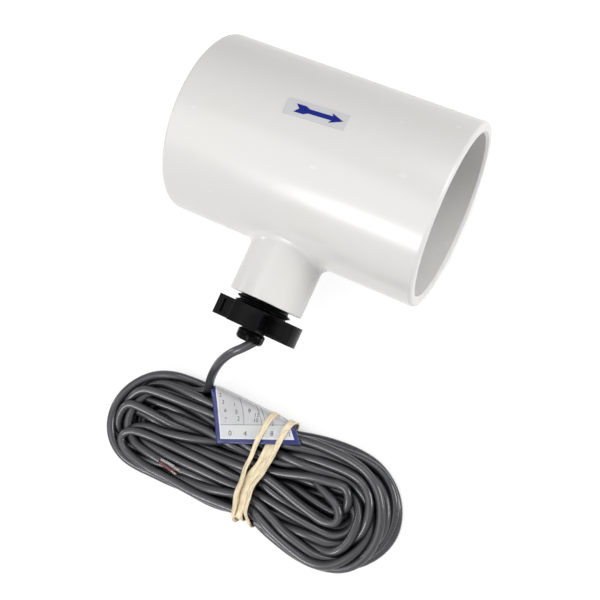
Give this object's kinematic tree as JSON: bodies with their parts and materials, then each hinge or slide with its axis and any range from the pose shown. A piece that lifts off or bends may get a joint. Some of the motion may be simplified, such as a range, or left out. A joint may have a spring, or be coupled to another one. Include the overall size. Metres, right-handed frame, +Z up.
{
  "type": "paddle flow switch",
  "caption": "Paddle flow switch in a white slip-socket pipe tee: a hinged vane closes a reed contact in flow, wired to a long coiled cable.",
  "frame": {"origin": "where the run axis of the tee meets the axis of its branch", "axes": "+X along the run in the flow direction, -Y along the branch to the switch, +Z up with the tee lying on its side"},
  "size_m": [0.1262, 0.1713, 0.0682],
  "materials": {
    "white_pvc": "smooth moulded white PVC with a soft gloss",
    "clear_film": "clear adhesive film",
    "blue_ink": "printed blue arrow",
    "black_plastic": "black moulded plastic, satin",
    "stainless": "drawn stainless steel",
    "reed_glass": "clear glass capsule",
    "reed_metal": "plated ferrous reed",
    "splice_metal": "tinned crimp ferrule",
    "red_insulation": "red wire insulation",
    "white_insulation": "white wire insulation",
    "potting": "glossy black epoxy",
    "cable_jacket": "dark grey PVC jacket, semi-gloss",
    "tan_rubber": "natural tan rubber",
    "tag_vinyl": "printed white tag with a blue border",
    "copper_strands": "bare copper strands",
    "paddle_plastic": "black moulded plastic",
    "magnet": "sintered ferrite"
  },
  "bodies": {
    "root": {"tee_body": "white_pvc", "flow_label_film": "clear_film", "flow_label_arrow": "blue_ink", "switch_housing": "black_plastic", "hinge_pin": "stainless", "return_spring": "stainless", "reed_glass": "reed_glass", "reed_blade_fixed": "reed_metal", "reed_lead_return": "reed_metal", "reed_lead_straight": "reed_metal", "splice_red": "splice_metal", "splice_white": "splice_metal", "inner_conductor_red": "red_insulation", "inner_conductor_white": "white_insulation", "potting_compound": "potting", "cable_run": "cable_jacket", "cable_hank": "cable_jacket", "rubber_band_wide": "tan_rubber", "rubber_band_narrow": "tan_rubber", "instruction_tag": "tag_vinyl", "end_conductor_white": "white_insulation", "end_conductor_red": "red_insulation", "end_strands_white": "copper_strands", "end_strands_red": "copper_strands"},
    "paddle": {"paddle": "paddle_plastic", "paddle_magnet": "magnet", "magnet_plug": "potting"},
    "reed_blade": {"reed_blade_moving": "reed_metal"}
  },
  "joints": [
    {"name": "paddle_swing", "type": "hinge", "parent": "root", "child": "paddle", "pos_m": [0, -0.029, 0], "axis": [0, 0, -1], "range_deg": [0, 30], "stiffness_Nm_per_rad": 0.004, "springref_deg": -8.59, "deforming": ["return_spring"]},
    {"name": "reed_flex", "type": "hinge", "parent": "root", "child": "reed_blade", "pos_m": [-0.00022, -0.04035, 0], "axis": [0, 0, 1], "range_deg": [0, 1.5]}
  ],
  "couplings": [
    {"joint": "reed_flex", "follows": "paddle_swing", "ratio": 0.045}
  ]
}
